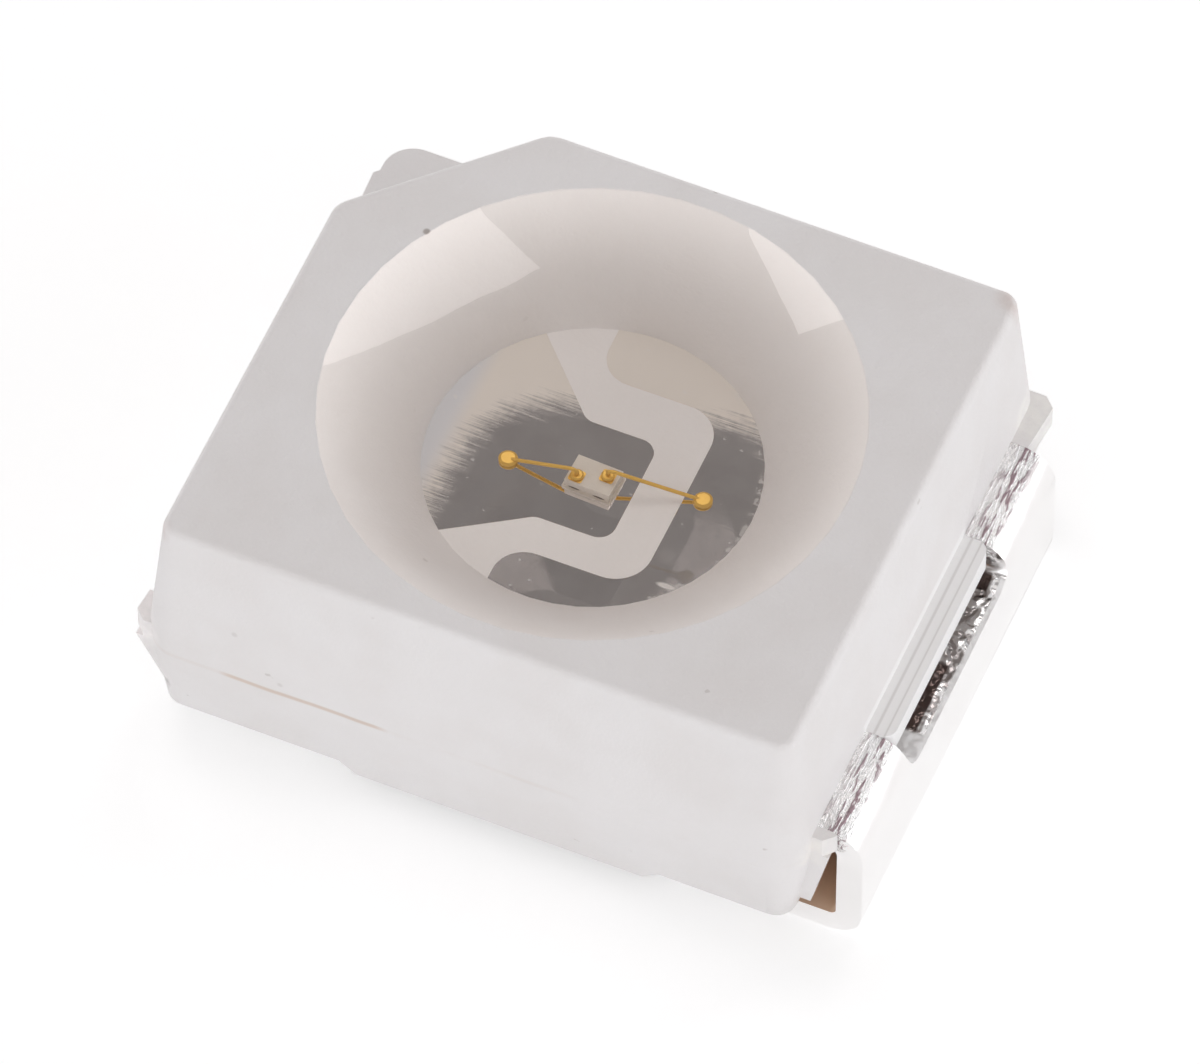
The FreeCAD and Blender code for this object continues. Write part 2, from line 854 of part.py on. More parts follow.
resin_form = new_body("resin_form")
resin_sketch = new_sketch(resin_form, "resin_outline", "XZ_Plane")
hollow = size("resin_hollow")
hollow_radius = (rim_radius * rim_radius + hollow * hollow) / (hollow * 2)
hollow_centre = body_top - hollow + hollow_radius
floor_line = resin_sketch.addGeometry(
    Part.LineSegment(
        FreeCAD.Vector(0, frame_top.number, 0),
        FreeCAD.Vector(floor_radius.number, frame_top.number, 0),
    ),
    False,
)
wall_line = resin_sketch.addGeometry(
    Part.LineSegment(
        FreeCAD.Vector(floor_radius.number, frame_top.number, 0),
        FreeCAD.Vector(rim_radius.number, body_top.number, 0),
    ),
    False,
)
middle_x = rim_radius.number / 2
middle_y = hollow_centre.number - math.sqrt(hollow_radius.number**2 - middle_x**2)
surface_arc = resin_sketch.addGeometry(
    Part.Arc(
        FreeCAD.Vector(0, (body_top - hollow).number, 0),
        FreeCAD.Vector(middle_x, middle_y, 0),
        FreeCAD.Vector(rim_radius.number, body_top.number, 0),
    ),
    False,
)
axis_line = resin_sketch.addGeometry(
    Part.LineSegment(
        FreeCAD.Vector(0, (body_top - hollow).number, 0),
        FreeCAD.Vector(0, frame_top.number, 0),
    ),
    False,
)
for first, first_end, second, second_end in (
    (floor_line, 2, wall_line, 1),
    (wall_line, 2, surface_arc, 2),
    (surface_arc, 1, axis_line, 1),
    (axis_line, 2, floor_line, 1),
):
    resin_sketch.addConstraint(
        Sketcher.Constraint("Coincident", first, first_end, second, second_end)
    )
hold(resin_sketch, floor_line, 1, NONE, frame_top)
hold(resin_sketch, wall_line, 1, floor_radius, frame_top)
hold(resin_sketch, wall_line, 2, rim_radius, body_top)
hold(resin_sketch, axis_line, 1, NONE, body_top - hollow)
arc_index = resin_sketch.addConstraint(
    Sketcher.Constraint("Radius", surface_arc, hollow_radius.number)
)
bind(resin_sketch, "Constraints[%d]" % arc_index, hollow_radius)
add_turned(resin_form, "resin_fill", resin_sketch)

embedded = document.addObject("Part::MultiFuse", "embedded")
embedded.Shapes = [die_attach, led_chip] + electrodes + [cathode_bond_wire, anode_bond_wire]
encapsulant = document.addObject("Part::Cut", "encapsulant")
encapsulant.Label = "encapsulant"
encapsulant.Base = resin_form
encapsulant.Tool = embedded
document.recompute()


# Checks and export

pieces = [
    housing,
    cathode_lead,
    anode_lead,
    die_attach,
    led_chip,
    electrodes[0],
    electrodes[1],
    cathode_bond_wire,
    anode_bond_wire,
    encapsulant,
]
for thing in document.Objects:
    if "Invalid" in thing.State or "Error" in thing.State:
        raise RuntimeError("%s failed: %s" % (thing.Name, thing.State))
for piece in pieces:
    shape = piece.Shape
    if shape.isNull() or not shape.isValid() or len(shape.Solids) != 1:
        raise RuntimeError("%s isn't one valid solid" % piece.Label)

os.makedirs("parts", exist_ok=True)
for piece in pieces:
    shape = piece.Shape
    box = shape.BoundBox
    print(
        "%-20s %.5f mm3  x %.3f %.3f  y %.3f %.3f  z %.3f %.3f"
        % (piece.Label, shape.Volume, box.XMin, box.XMax, box.YMin, box.YMax, box.ZMin, box.ZMax)
    )
    shape.exportStep("parts/%s.step" % piece.Label)
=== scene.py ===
import math

import bpy
from mathutils import Matrix, Vector


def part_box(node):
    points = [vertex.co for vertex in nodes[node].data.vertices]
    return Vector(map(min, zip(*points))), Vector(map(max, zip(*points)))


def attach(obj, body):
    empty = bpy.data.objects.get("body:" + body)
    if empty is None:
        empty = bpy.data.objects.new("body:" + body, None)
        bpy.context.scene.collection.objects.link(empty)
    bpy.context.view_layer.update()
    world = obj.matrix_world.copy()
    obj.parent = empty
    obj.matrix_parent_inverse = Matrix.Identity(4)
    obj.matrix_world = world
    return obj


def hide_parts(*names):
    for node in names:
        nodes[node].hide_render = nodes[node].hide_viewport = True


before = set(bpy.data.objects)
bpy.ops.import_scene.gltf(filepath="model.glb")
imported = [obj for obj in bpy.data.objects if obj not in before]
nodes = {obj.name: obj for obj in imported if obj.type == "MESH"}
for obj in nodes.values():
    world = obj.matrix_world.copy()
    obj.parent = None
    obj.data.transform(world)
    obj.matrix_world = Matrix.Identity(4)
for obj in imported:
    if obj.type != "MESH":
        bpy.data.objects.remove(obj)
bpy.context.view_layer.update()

# Lengths are in millimetres until MM turns them into metres. The middle of the resin's rim is
# the place that the camera and the lamps are set out from.
MM = 0.001
cup_low, cup_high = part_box("encapsulant")
AXIS_X = (cup_low[0] + cup_high[0]) / 2 / MM
TOP = cup_high[2] / MM
RIM_RADIUS = (cup_high[0] - cup_low[0]) / 2 / MM
FRAME_TOP = 0.75
PARTING = 0.655
# The window between a lead's two legs, along Y
WINDOW_START = -0.625
WINDOW_END = 0.495


def at(x, y, z):
    """A place given from the cup's axis and the board plane, in metres."""
    return Vector(((x + AXIS_X) * MM, y * MM, z * MM))


def rgb(red, green, blue):
    return (red, green, blue, 1.0)


def grey(level):
    return rgb(level, level, level)


# Shader helpers
NOISE_ROUGHNESS = 0.55


class Paint:
    """One material, built node by node. Places on it are in millimetres."""

    def __init__(self, name):
        self.material = bpy.data.materials.new(name)
        self.material.use_nodes = True
        self.tree = self.material.node_tree
        self.tree.nodes.clear()
        self.output = self.tree.nodes.new("ShaderNodeOutputMaterial")
        source = self.tree.nodes.new("ShaderNodeTexCoord")
        scale = self.tree.nodes.new("ShaderNodeVectorMath")
        scale.operation = "SCALE"
        scale.inputs["Scale"].default_value = 1 / MM
        self.tree.links.new(source.outputs["Object"], scale.inputs[0])
        self.place = scale.outputs["Vector"]

    def put(self, socket, value):
        if isinstance(value, bpy.types.NodeSocket):
            self.tree.links.new(value, socket)
        else:
            socket.default_value = value

    def node(self, kind, values=(), **settings):
        made = self.tree.nodes.new("ShaderNode" + kind)
        for name, value in settings.items():
            setattr(made, name, value)
        for key, value in dict(values).items():
            self.put(made.inputs[key], value)
        return made

    def maths(self, operation, first, second=0.0, third=0.0):
        made = self.node("Math", {0: first, 1: second, 2: third}, operation=operation)
        return made.outputs[0]

    def times(self, *factors):
        product = factors[0]
        for factor in factors[1:]:
            product = self.maths("MULTIPLY", product, factor)
        return product

    def greatest(self, first, *others):
        for other in others:
            first = self.maths("MAXIMUM", first, other)
        return first

    def noise(self, scale, detail, stretch=(1, 1, 1), shift=(0, 0, 0)):
        place = self.node(
            "Mapping", {"Vector": self.place, "Scale": stretch, "Location": shift}
        ).outputs["Vector"]
        made = self.node(
            "TexNoise",
            {"Vector": place, "Scale": scale, "Detail": detail, "Roughness": NOISE_ROUGHNESS},
        )
        return made.outputs["Fac"]

    def span(self, value, low, high, start=0.0, end=1.0):
        made = self.node(
            "MapRange",
            {"Value": value, "From Min": low, "From Max": high, "To Min": start, "To Max": end},
            interpolation_type="SMOOTHSTEP",
        )
        return made.outputs["Result"]

    def below(self, value, low, high):
        """1 up to a value, falling to 0 at a higher one."""
        return self.span(value, low, high, 1.0, 0.0)

    def inside(self, value, low, high, soft):
        """1 between two values, falling to 0 over a soft margin outside each."""
        return self.times(self.span(value, low - soft, low), self.below(value, high, high + soft))

    def in_window(self, y, soft):
        """1 beside the window between the legs."""
        return self.inside(y, WINDOW_START, WINDOW_END, soft)

    def axis(self, name):
        return self.node("SeparateXYZ", {"Vector": self.place}).outputs[name]

    def facing(self, axis):
        geometry = self.node("NewGeometry")
        return self.node("SeparateXYZ", {"Vector": geometry.outputs["Normal"]}).outputs[axis]

    def blend(self, factor, first, second):
        made = self.node("Mix", data_type="RGBA")
        self.put(made.inputs[0], factor)
        self.put(made.inputs[6], first)
        self.put(made.inputs[7], second)
        return made.outputs[2]

    def near(self, point, inner, outer, stretch=(1, 1, 1)):
        """1 in a ball round a point (from the cup's axis), falling to 0 at its outer radius."""
        place = (point[0] + AXIS_X, point[1], point[2])
        offset = self.node("VectorMath", {0: self.place, 1: place}, operation="SUBTRACT")
        scaled = self.node(
            "VectorMath", {0: offset.outputs["Vector"], 1: stretch}, operation="MULTIPLY"
        )
        distance = self.node(
            "VectorMath", {0: scaled.outputs["Vector"]}, operation="LENGTH"
        ).outputs["Value"]
        return self.below(distance, inner, outer)

    def from_axis(self):
        """Distance in plan from the cup's axis."""
        along = self.maths("SUBTRACT", self.axis("X"), AXIS_X)
        across = self.axis("Y")
        squares = self.maths("ADD", self.times(along, along), self.times(across, across))
        return self.maths("SQRT", squares)

    def from_middle(self, middle, reach, slope):
        """1 on a squarish, slanting outline round a middle (from the cup's axis), less inside."""
        along = self.maths("SUBTRACT", self.axis("X"), middle[0] + AXIS_X)
        across = self.maths("SUBTRACT", self.axis("Y"), middle[1])
        across = self.maths("MULTIPLY_ADD", self.axis("X"), -slope, across)
        total = 0.0
        for offset, half in ((along, reach[0]), (across, reach[1])):
            share = self.maths("ABSOLUTE", self.maths("DIVIDE", offset, half))
            total = self.maths("ADD", self.maths("POWER", share, 4.0), total)
        return self.maths("POWER", total, 0.25)

    def bump(self, height, depth):
        made = self.node("Bump", {"Height": height, "Strength": 1.0, "Distance": depth * MM})
        return made.outputs["Normal"]

    def surface(self, values):
        made = self.node("BsdfPrincipled", values)
        self.put(self.output.inputs["Surface"], made.outputs["BSDF"])


# Materials
# Painted shade: a brown for the shaded gap behind the legs, on the plastic and on the legs' own
# inner faces
SHADE_BEHIND_LEGS = rgb(0.84, 0.62, 0.46)
# Dark specks along the cup's rim and on the faces, from the cup's axis: place, radius, darkness
SPECKS = (
    ((-1.045, 0.60, 1.46), 0.022, 0.65),
    ((-1.085, 0.46, 1.46), 0.020, 0.25),
    ((0.03, 1.30, 1.46), 0.018, 0.25),
    ((-0.88, -1.385, 0.72), 0.018, 0.15),
    ((-1.10, -1.36, 0.95), 0.020, 0.15),
)
# Darker patches at two top corners, and lighter patches at three lower corners that are painted
# light: place, full inside this radius, gone at this one, shade
TONE_PATCHES = (
    ((-1.50, -1.30, 1.44), 0.02, 0.10, rgb(0.74, 0.64, 0.62)),
    ((1.46, 1.28, 1.44), 0.02, 0.13, rgb(0.74, 0.66, 0.63)),
    ((-1.60, -1.25, 0.70), 0.12, 0.20, rgb(0.98, 0.94, 0.93)),
    ((1.62, 1.22, 0.74), 0.10, 0.18, rgb(0.93, 0.91, 0.88)),
    ((1.60, -1.25, 0.66), 0.05, 0.14, rgb(0.93, 0.90, 0.87)),
)
# Two fine dark lines along the plug in the anode's window, painted shade of a step and a groove:
# start, end, soft margin
PLUG_GROOVE_SHADES = ((1.588, 1.592, 0.008), (1.636, 1.638, 0.006))
CUP_RADIUS = 1.19


def paint_plastic():
    """White moulded plastic with a fine grain, specks, and a brown flash line at the parting."""
    paint = Paint("housing plastic")
    x = paint.maths("SUBTRACT", paint.axis("X"), AXIS_X)
    y = paint.axis("Y")
    z = paint.axis("Z")
    cloud = paint.noise(2.2, 2.0)
    mottle = paint.noise(16, 2.0)
    colour = paint.blend(
        paint.span(cloud, 0.35, 0.7), rgb(0.865, 0.84, 0.835), rgb(0.84, 0.81, 0.80)
    )

    # Specks
    specks = paint.span(paint.noise(11, 2.0, shift=(4, 1, 7)), 0.75, 0.79)
    colour = paint.blend(paint.times(specks, 0.25), colour, rgb(0.30, 0.23, 0.19))
    for place, radius, darkness in SPECKS:
        spot = paint.near(place, radius * 0.4, radius)
        colour = paint.blend(paint.times(spot, darkness), colour, rgb(0.25, 0.19, 0.16))

    # Flash line round the sides, strongest on the left of the front
    sideways = paint.below(paint.maths("ABSOLUTE", paint.facing("Z")), 0.35, 0.6)
    wandering = paint.maths("ADD", z, paint.maths("MULTIPLY_ADD", cloud, 0.03, -0.015))
    off_line = paint.maths("ABSOLUTE", paint.maths("SUBTRACT", wandering, PARTING))
    strength = paint.greatest(
        paint.inside(x, -1.10, -0.45, 0.10), paint.times(paint.span(cloud, 0.4, 0.6), 0.15)
    )
    flash = paint.times(paint.below(off_line, 0.004, 0.02), strength, sideways, 0.40)
    colour = paint.blend(flash, colour, rgb(0.52, 0.30, 0.14))

    # Darker patches, and painted light at three lower corners
    uneven = paint.span(mottle, 0.3, 0.7, 0.35, 1.0)
    for place, inner, outer, shade in TONE_PATCHES:
        patch = paint.near(place, inner, outer)
        colour = paint.blend(paint.times(patch, uneven), colour, shade)

    # Plug in the anode's window, and painted shade on the plastic behind its legs
    plug = paint.times(
        paint.inside(x, 1.555, 1.70, 0.02),
        paint.in_window(y, 0.03),
        paint.inside(z, 0.6, 0.78, 0.02),
    )
    colour = paint.blend(plug, colour, rgb(0.95, 0.94, 0.935))
    shade_behind_legs = paint.times(
        paint.span(x, 1.40, 1.46), paint.below(z, 0.45, 0.56), paint.inside(y, -1.17, 1.04, 0.02)
    )
    colour = paint.blend(paint.times(shade_behind_legs, 0.9), colour, SHADE_BEHIND_LEGS)

    # Cup: painted light. The cup's wall is lightened except at the front, and its floor most at
    # the front
    in_cup = paint.below(paint.from_axis(), CUP_RADIUS, CUP_RADIUS + 0.01)
    cup_wall_painted_light = paint.times(
        in_cup,
        paint.inside(z, FRAME_TOP + 0.005, TOP - 0.005, 0.002),
        paint.span(y, -1.0, -0.3, 0.1, 0.7),
    )
    colour = paint.blend(cup_wall_painted_light, colour, rgb(0.95, 0.92, 0.905))
    cup_floor_painted_light = paint.times(
        in_cup,
        paint.inside(z, FRAME_TOP - 0.01, FRAME_TOP + 0.003, 0.002),
        paint.span(y, -0.3, 0.1, 1.0, 0.5),
    )
    colour = paint.blend(cup_floor_painted_light, colour, rgb(0.965, 0.94, 0.925))

    # Painted shade of a step and a groove along the plug
    groove_shade = paint.greatest(*[paint.inside(x, *line) for line in PLUG_GROOVE_SHADES])
    colour = paint.blend(paint.times(groove_shade, plug, 0.35), colour, rgb(0.48, 0.45, 0.43))
    relief = paint.maths("MULTIPLY_ADD", mottle, 2.0, paint.noise(70, 1.0))
    paint.surface(
        {
            "Base Color": colour,
            "Roughness": 0.5,
            "Specular IOR Level": 0.35,
            "Normal": paint.bump(relief, 0.002),
        }
    )
    return paint.material


# The clear zone of the mirror in the cup, from the cup's axis. A pale bloom lies round it, partly
# a thin film of plastic and partly a painted reflection of the cup wall.
CLEAR_MIDDLE = (0.12, -0.30)
CLEAR_REACH = (0.69, 0.655)
CLEAR_SLOPE = 0.25
# Painted highlights on the mirror: a pale glint and a fainter streak of light
GLINT_PLACE = (0.558, -0.473, FRAME_TOP)
SHEEN_PLACE = (0.50, -0.32, FRAME_TOP)


def paint_silver():
    """Rolled silver plate: a mirror in the cup, crumpled at the bends, clean on the legs."""
    paint = Paint("silver plate")
    x = paint.maths("ABSOLUTE", paint.maths("SUBTRACT", paint.axis("X"), AXIS_X))
    y = paint.axis("Y")
    z = paint.axis("Z")
    upward = paint.facing("Z")
    streaks = paint.noise(9, 4.0, stretch=(0.5, 14, 14))
    creases = paint.noise(3.0, 4.0, stretch=(20, 3.0, 20))
    cloud = paint.noise(5.0, 3.0)
    beads = paint.noise(16, 1.0)

    # Legs, crumpled where they bend
    colour = paint.blend(
        paint.span(cloud, 0.3, 0.75), rgb(0.91, 0.90, 0.895), rgb(0.875, 0.86, 0.855)
    )
    crumple = paint.times(paint.inside(x, 1.45, 1.66, 0.05), paint.span(z, 0.60, 0.66))
    outer_half = paint.maths("MULTIPLY_ADD", paint.span(x, 1.56, 1.62), 0.6, 0.4)
    dark_crease = paint.times(paint.span(creases, 0.52, 0.60), crumple, outer_half)
    colour = paint.blend(dark_crease, colour, rgb(0.34, 0.25, 0.27))

    # Sill of the window, beaded in its middle. Outside the beads the sill is a dull white:
    # painted light in place of the metal's bright reflection
    sill = paint.times(
        paint.inside(z, 0.50, 0.57, 0.02), paint.in_window(y, 0.01), paint.span(upward, 0.3, 0.6)
    )
    colour = paint.blend(sill, colour, rgb(0.97, 0.96, 0.955))
    beaded = paint.times(sill, paint.inside(y, -0.40, 0.48, 0.03), paint.below(x, 1.733, 1.745))
    gaps = paint.times(beaded, paint.below(beads, 0.44, 0.52), 0.7)
    colour = paint.blend(gaps, colour, rgb(0.34, 0.29, 0.28))
    dark_bits = paint.greatest(
        paint.inside(y, -0.40, -0.05, 0.03), paint.inside(y, 0.40, 0.47, 0.02)
    )
    dark_bits = paint.times(sill, paint.below(x, 1.696, 1.706), dark_bits)
    colour = paint.blend(dark_bits, colour, rgb(0.16, 0.12, 0.11))

    # Painted shade on the inner faces of the anode's leg and pad, in the gap behind the leg
    inner_face = paint.times(paint.facing("X"), -1.0, paint.below(z, 0.5, 0.6))
    pad_top = paint.times(paint.span(upward, 0.5, 0.8), paint.below(z, 0.2, 0.3))
    shade_behind_legs = paint.times(
        paint.greatest(paint.span(inner_face, 0.5, 0.8), pad_top),
        paint.span(paint.axis("X"), 1.0, 1.1),
    )
    colour = paint.blend(shade_behind_legs, colour, SHADE_BEHIND_LEGS)

    # Mirror on the floor of the cup, with a bloom round its clear zone: partly a thin film of
    # plastic, partly a painted reflection of the cup wall
    from_axis = paint.from_axis()
    in_cup = paint.times(paint.below(from_axis, 0.80, 0.82), paint.span(z, 0.735, 0.74))
    mirror = paint.blend(
        paint.span(cloud, 0.3, 0.8), rgb(0.92, 0.885, 0.875), rgb(0.84, 0.80, 0.79)
    )
    colour = paint.blend(in_cup, colour, mirror)
    ragged = paint.maths("MULTIPLY_ADD", streaks, 0.36, -0.18)
    ragged = paint.maths("MULTIPLY_ADD", paint.noise(30, 3.0), 0.10, ragged)
    edge = paint.maths("ADD", paint.from_middle(CLEAR_MIDDLE, CLEAR_REACH, CLEAR_SLOPE), ragged)
    bloom = paint.times(paint.span(edge, 0.95, 1.20), in_cup)
    bloom_colour = paint.blend(
        paint.inside(paint.axis("X"), -0.60 + AXIS_X, 1.0, 0.12),
        rgb(0.76, 0.765, 0.79),
        rgb(0.86, 0.81, 0.75),
    )
    colour = paint.blend(bloom, colour, bloom_colour)

    # Painted highlights (a glint and a faint streak of light), and dust and scuffs on the mirror
    glint = paint.near(GLINT_PLACE, 0.012, 0.028, (0.45, 1.4, 1))
    sheen = paint.times(paint.near(SHEEN_PLACE, 0.02, 0.06), 0.08)
    dust = paint.span(paint.noise(21, 1.0, shift=(5, 2, 8)), 0.74, 0.78)
    scuffs = paint.times(
        in_cup,
        paint.span(from_axis, 0.735, 0.755),
        paint.span(paint.noise(17, 2.0), 0.52, 0.60),
        paint.span(paint.axis("X"), 0.3, 0.4),
        0.45,
    )
    dust_and_glints = paint.greatest(glint, sheen, paint.times(in_cup, dust, 0.4), scuffs)
    colour = paint.blend(dust_and_glints, colour, rgb(0.86, 0.84, 0.82))
    cup_edge = paint.times(in_cup, paint.below(upward, 0.55, 0.9))
    colour = paint.blend(cup_edge, colour, rgb(0.62, 0.32, 0.14))

    # The sill outside its beads is dull white paint, a painted reflection
    sill_painted_light = paint.maths("SUBTRACT", sill, beaded)
    dull = paint.greatest(bloom, dust_and_glints, shade_behind_legs, sill_painted_light)
    outside_cup = paint.maths("SUBTRACT", 1.0, in_cup)
    relief = paint.times(creases, crumple, 0.022)
    relief = paint.maths("MULTIPLY_ADD", paint.times(beads, sill), 0.035, relief)
    relief = paint.maths("MULTIPLY_ADD", paint.times(cloud, outside_cup), 0.003, relief)
    paint.surface(
        {
            "Base Color": colour,
            "Metallic": paint.maths("SUBTRACT", 1.0, dull),
            "Roughness": paint.blend(in_cup, grey(0.22), grey(0.03)),
            "Specular IOR Level": 0.2,
            "Normal": paint.bump(relief, 1.0),
        }
    )
    return paint.material


def paint_gold():
    paint = Paint("gold")
    paint.surface(
        {
            "Base Color": rgb(0.82, 0.52, 0.13),
            "Metallic": 0.75,
            "Roughness": 0.45,
            "Normal": paint.bump(paint.noise(60, 2.0), 0.0012),
        }
    )
    return paint.material


# Dark marks at the foot of the chip's front face, from the cup's axis
CHIP_MARKS = ((-0.031, -0.150, 0.776), (0.092, -0.155, 0.776))
LIGHT_IN_CHIP = 0.05


def paint_chip():
    """Clear sapphire with frosted sides and two dark marks at its foot."""
    paint = Paint("sapphire")
    frost = paint.noise(30, 3.0)
    colour = paint.blend(frost, rgb(0.75, 0.69, 0.61), rgb(0.68, 0.62, 0.54))
    for place in CHIP_MARKS:
        mark = paint.near(place, 0.014, 0.022, (0.6, 0.6, 1.6))
        colour = paint.blend(paint.times(mark, 0.9), colour, rgb(0.08, 0.06, 0.05))
    paint.surface(
        {
            "Base Color": colour,
            "Roughness": 0.25,
            "IOR": 1.77,
            "Subsurface Weight": 0.3,
            "Subsurface Radius": [LIGHT_IN_CHIP * MM] * 3,
            "Normal": paint.bump(frost, 0.002),
        }
    )
    return paint.material


def paint_adhesive():
    paint = Paint("die adhesive")
    colour = paint.blend(paint.noise(25, 3.0), rgb(0.80, 0.75, 0.68), rgb(0.66, 0.58, 0.50))
    paint.surface({"Base Color": colour, "Roughness": 0.35})
    return paint.material


def paint_resin():
    """Water-clear resin. Light that falls on the cup passes through it without bending."""
    paint = Paint("clear resin")
    glass = paint.node(
        "BsdfPrincipled",
        {
            "Base Color": rgb(0.985, 0.955, 0.93),
            "Roughness": 0.0,
            "IOR": 1.53,
            "Transmission Weight": 1.0,
            "Normal": paint.bump(paint.noise(1.5, 2.0), 0.0006),
        },
    )
    clear = paint.node("BsdfTransparent", {"Color": rgb(0.985, 0.965, 0.945)})
    path = paint.node("LightPath")
    straight = paint.greatest(path.outputs["Is Shadow Ray"], path.outputs["Is Diffuse Ray"])
    mixed = paint.node(
        "MixShader", {0: straight, 1: glass.outputs["BSDF"], 2: clear.outputs["BSDF"]}
    )
    paint.put(paint.output.inputs["Surface"], mixed.outputs["Shader"])
    return paint.material


# The floor that the camera sees, also in metal and through glass, is lifted to white by this
# much. The lift lights nothing.
FLOOR_LIFT = 0.46


def paint_floor():
    """A white table."""
    paint = Paint("white table")
    path = paint.node("LightPath")
    seen = paint.maths("ADD", path.outputs["Is Camera Ray"], path.outputs["Is Glossy Ray"])
    seen = paint.maths("ADD", seen, path.outputs["Is Transmission Ray"])
    paint.surface(
        {
            "Base Color": grey(0.80),
            "Roughness": 1.0,
            "Specular IOR Level": 0.0,
            "Emission Color": grey(1),
            "Emission Strength": paint.times(paint.maths("MINIMUM", seen, 1.0), FLOOR_LIFT),
        }
    )
    return paint.material


# Pieces
SHARP_ANGLE = 35
WELD_DISTANCE = 0.0002
TURN_STEPS = 192


def dress(name, material):
    """Gives a CAD node a material."""
    materials = nodes[name].data.materials
    materials.clear()
    materials.append(material)


def soften(name, width, angle):
    """Rounds a CAD node's edges that are sharper than an angle, without touching its own mesh."""
    weld = nodes[name].modifiers.new("join", "WELD")
    weld.merge_threshold = WELD_DISTANCE * MM
    bevel = nodes[name].modifiers.new("edges", "BEVEL")
    bevel.width = width * MM
    bevel.segments = 2
    bevel.limit_method = "ANGLE"
    bevel.angle_limit = math.radians(angle)


def mesh_object(name, vertices, faces, material, smooth=True):
    mesh = bpy.data.meshes.new(name)
    mesh.from_pydata(vertices, [], faces)
    mesh.update()
    if smooth:
        mesh.shade_smooth()
        mesh.set_sharp_from_angle(angle=math.radians(SHARP_ANGLE))
    mesh.materials.append(material)
    made = bpy.data.objects.new(name, mesh)
    bpy.context.scene.collection.objects.link(made)
    return made


def turned(name, profile, material):
    """A closed solid of revolution about the cup's axis; profile runs (radius, height)."""
    vertices = []
    faces = []
    rings = []
    for radius, height in profile:
        if radius == 0:
            rings.append([len(vertices)])
            vertices.append(at(0, 0, height))
            continue
        ring = []
        for step in range(TURN_STEPS):
            turn = math.tau * step / TURN_STEPS
            ring.append(len(vertices))
            vertices.append(at(radius * math.cos(turn), radius * math.sin(turn), height))
        rings.append(ring)
    for upper, lower in zip(rings, rings[1:]):
        for step in range(TURN_STEPS):
            after = (step + 1) % TURN_STEPS
            if len(upper) == 1:
                faces.append((upper[0], lower[step], lower[after]))
            elif len(lower) == 1:
                faces.append((upper[step], lower[0], upper[after]))
            else:
                faces.append((upper[step], lower[step], lower[after], upper[after]))
    return mesh_object(name, vertices, faces, material)


# Resin
HOLLOW = 0.07
CUP_FLOOR_RADIUS = 0.77
OVERLAP = 0.005
MENISCUS_STEPS = 40


def resin_profile():
    """The hollow surface, a small lip under the rim, the slanting wall, and the flat bottom."""
    sphere = (RIM_RADIUS**2 + HOLLOW**2) / (2 * HOLLOW)
    profile = []
    for step in range(MENISCUS_STEPS + 1):
        radius = RIM_RADIUS * step / MENISCUS_STEPS
        sag = sphere - math.sqrt(sphere**2 - radius**2)
        profile.append((radius, TOP - HOLLOW + sag))
    profile.append((RIM_RADIUS + 0.0005, TOP - 0.004))
    profile.append((RIM_RADIUS - 0.013, TOP - 0.03))
    profile.append((CUP_FLOOR_RADIUS + OVERLAP, FRAME_TOP - OVERLAP))
    profile.append((0, FRAME_TOP - OVERLAP))
    return profile


resin = turned("resin", resin_profile(), paint_resin())
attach(resin, "root")
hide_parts("encapsulant")

silver = paint_silver()
gold = paint_gold()
dress("housing", paint_plastic())
dress("led_chip", paint_chip())
dress("die_attach", paint_adhesive())
for piece in ("cathode_electrode", "anode_electrode", "cathode_bond_wire", "anode_bond_wire"):
    dress(piece, gold)
soften("housing", 0.010, 28)
for lead in ("cathode_lead", "anode_lead"):
    dress(lead, silver)
    soften(lead, 0.007, 40)

# Floor. It lies just under the board plane, because the solder pads lie in that plane.
FLOOR_SIDE = 600
FLOOR_LEVEL = -0.002
floor = mesh_object(
    "floor",
    [
        at(x * FLOOR_SIDE, y * FLOOR_SIDE, FLOOR_LEVEL)
        for x, y in ((-1, -1), (1, -1), (1, 1), (-1, 1))
    ],
    [(0, 1, 2, 3)],
    paint_floor(),
    smooth=False,
)

# World: a light tent with a bright low band of wall, dimmer wall above it, and a dim ceiling.
# X, Y and Z are those of the direction: Z is 0 at the horizon and 1 straight up.
world = bpy.data.worlds.new("light tent")
bpy.context.scene.world = world
world.use_nodes = True
tent = world.node_tree
tent.nodes.clear()
sky = tent.nodes.new("ShaderNodeTexCoord")
direction = tent.nodes.new("ShaderNodeSeparateXYZ")
background = tent.nodes.new("ShaderNodeBackground")
sky_out = tent.nodes.new("ShaderNodeOutputWorld")
tent.links.new(sky.outputs["Generated"], direction.inputs[0])


def sky_ramp(axis, low, high, start, end):
    made = tent.nodes.new("ShaderNodeMapRange")
    made.interpolation_type = "SMOOTHSTEP"
    for name, number in (
        ("From Min", low), ("From Max", high), ("To Min", start), ("To Max", end)
    ):
        made.inputs[name].default_value = number
    tent.links.new(direction.outputs[axis], made.inputs["Value"])
    return made.outputs["Result"]


def sky_sum(first, second):
    made = tent.nodes.new("ShaderNodeMath")
    made.operation = "ADD"
    tent.links.new(first, made.inputs[0])
    tent.links.new(second, made.inputs[1])
    return made.outputs[0]


def sky_mix(factor, first, second):
    made = tent.nodes.new("ShaderNodeMix")
    tent.links.new(factor, made.inputs[0])
    tent.links.new(first, made.inputs[2])
    tent.links.new(second, made.inputs[3])
    return made.outputs[0]


FRONT_TO_BACK = (-0.7, -0.1)
TOWARDS_RIGHT = (0.4, 0.95)


def ring(front, back, right):
    """Level of a band of wall: at the front, at the back, and what the right adds."""
    return sky_sum(
        sky_ramp("Y", *FRONT_TO_BACK, front, back), sky_ramp("X", *TOWARDS_RIGHT, 0.0, right)
    )


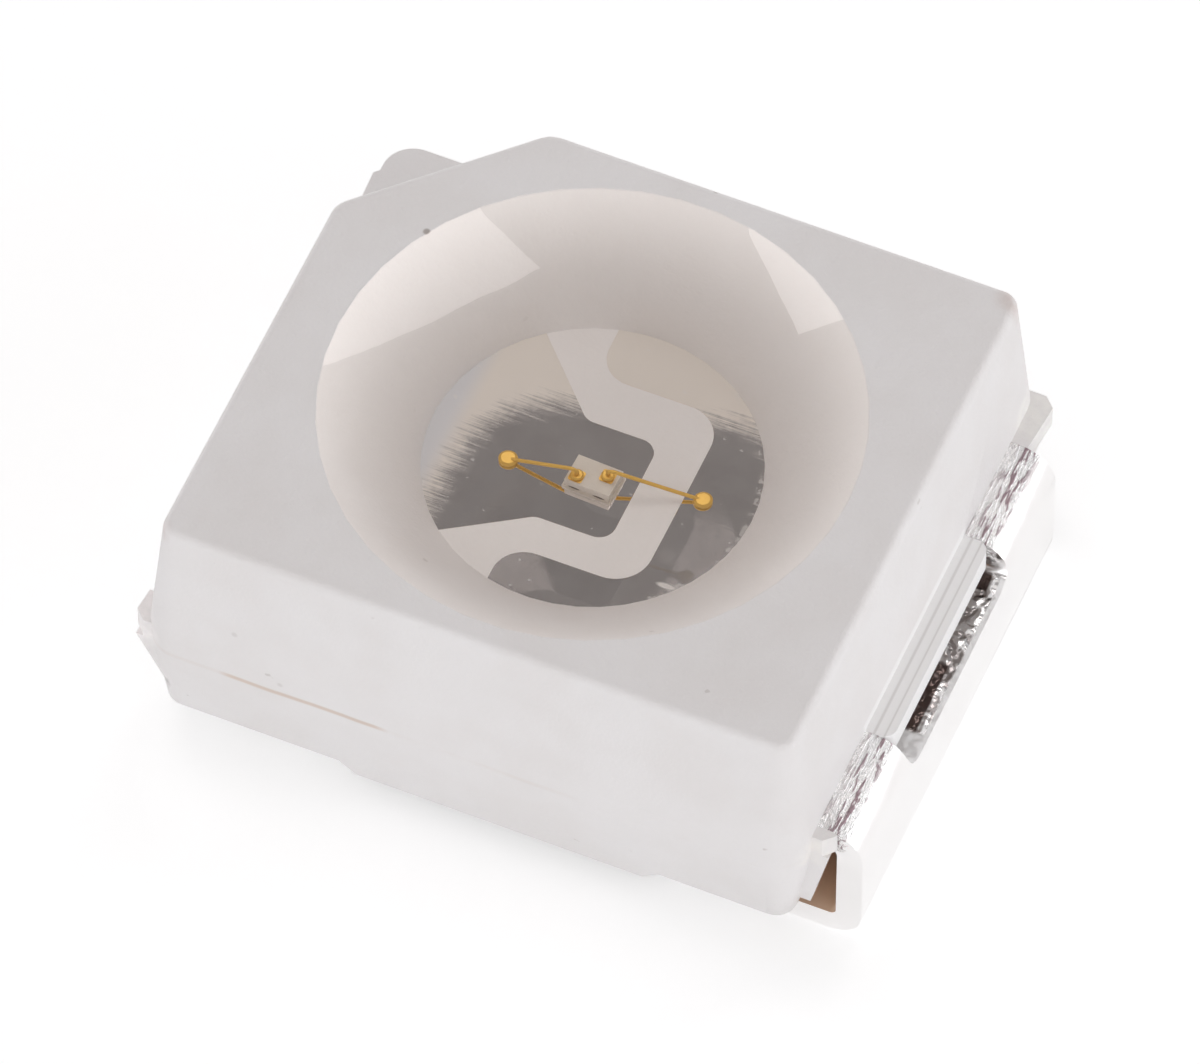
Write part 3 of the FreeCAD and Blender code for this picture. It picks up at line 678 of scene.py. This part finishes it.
COOL_TINT = rgb(0.98, 0.99, 1.01)
WARM_TINT = rgb(1, 0.965, 0.955)
low_wall = ring(2.70, 1.80, 1.0)
high_wall = ring(0.15, 0.45, 0.5)
ceiling = sky_ramp("Y", -0.35, 0.0, 0.80, 0.20)
wall = sky_mix(sky_ramp("Z", 0.10, 0.40, 0.0, 1.0), low_wall, high_wall)
upwards = sky_ramp("Z", 0.52, 0.72, 0.0, 1.0)
tint = tent.nodes.new("ShaderNodeMix")
tint.data_type = "RGBA"
tent.links.new(upwards, tint.inputs[0])
tint.inputs[6].default_value = COOL_TINT
tint.inputs[7].default_value = WARM_TINT
tent.links.new(tint.outputs[2], background.inputs["Color"])
tent.links.new(sky_mix(upwards, wall, ceiling), background.inputs["Strength"])
tent.links.new(background.outputs[0], sky_out.inputs["Surface"])

# Lamps. LAMP_SPREAD is half a lamp's side as a share of its distance from the resin.
LAMP_DISTANCE = 0.1
LAMP_SPREAD = 0.17


def along_sphere(towards, edge):
    """The way an edge seen from above runs over the sphere of directions."""
    drop = -(towards.x * edge[0] + towards.y * edge[1]) / towards.z
    return Vector((edge[0], edge[1], drop)).normalized()


def softbox(name, corner, edge, other_edge, radiance):
    """A square lamp with one corner in a given direction, seen from the resin's middle."""
    flat = corner[0] ** 2 + corner[1] ** 2
    towards = Vector((corner[0], corner[1], math.sqrt(1 - flat)))
    first = along_sphere(towards, edge)
    second = along_sphere(towards, other_edge)
    second = (second - first * second.dot(first)).normalized()
    middle = (towards + LAMP_SPREAD * (first + second)).normalized()
    across = (first - middle * first.dot(middle)).normalized()
    up = middle.cross(across)
    data = bpy.data.lights.new(name, "AREA")
    data.shape = "SQUARE"
    data.size = 2 * LAMP_DISTANCE * LAMP_SPREAD
    data.energy = math.pi * data.size**2 * radiance
    data.color = WARM_TINT[:3]
    lamp = bpy.data.objects.new(name, data)
    turn = Matrix((across, up, middle)).transposed().to_4x4()
    lamp.matrix_world = Matrix.Translation(at(0, 0, TOP) + middle * LAMP_DISTANCE) @ turn
    lamp.visible_camera = False
    bpy.context.scene.collection.objects.link(lamp)


softbox("left lamp", (-0.153, 0.438), (0.54, 0.84), (0.949, -0.316), 2.35)
softbox("right lamp", (-0.313, 0.425), (0.64, -0.77), (-0.76, -0.65), 2.70)

# Camera. It is far away, because the photograph shows almost no perspective.
BACK = Vector((0.2248, -0.5246, 0.8211)).normalized()
RIGHT = Vector((0.9191, 0.3939, 0)).normalized()
UP = BACK.cross(RIGHT)
VIEW_DISTANCE = 64.9
AIM_RIGHT = 0.0331
AIM_DOWN = 0.5202
aim = at(0, 0, TOP) + (AIM_RIGHT * RIGHT - AIM_DOWN * UP) * MM
camera_data = bpy.data.cameras.new("camera")
camera_data.lens = 450
camera_data.sensor_width = 36
camera_data.clip_start = 0.001
camera_data.clip_end = 10
camera = bpy.data.objects.new("camera", camera_data)
camera.matrix_world = (
    Matrix.Translation(aim + BACK * VIEW_DISTANCE * MM)
    @ Matrix((RIGHT, UP, BACK)).transposed().to_4x4()
)
bpy.context.scene.collection.objects.link(camera)
bpy.context.scene.camera = camera
bpy.context.scene.view_settings.view_transform = "Standard"
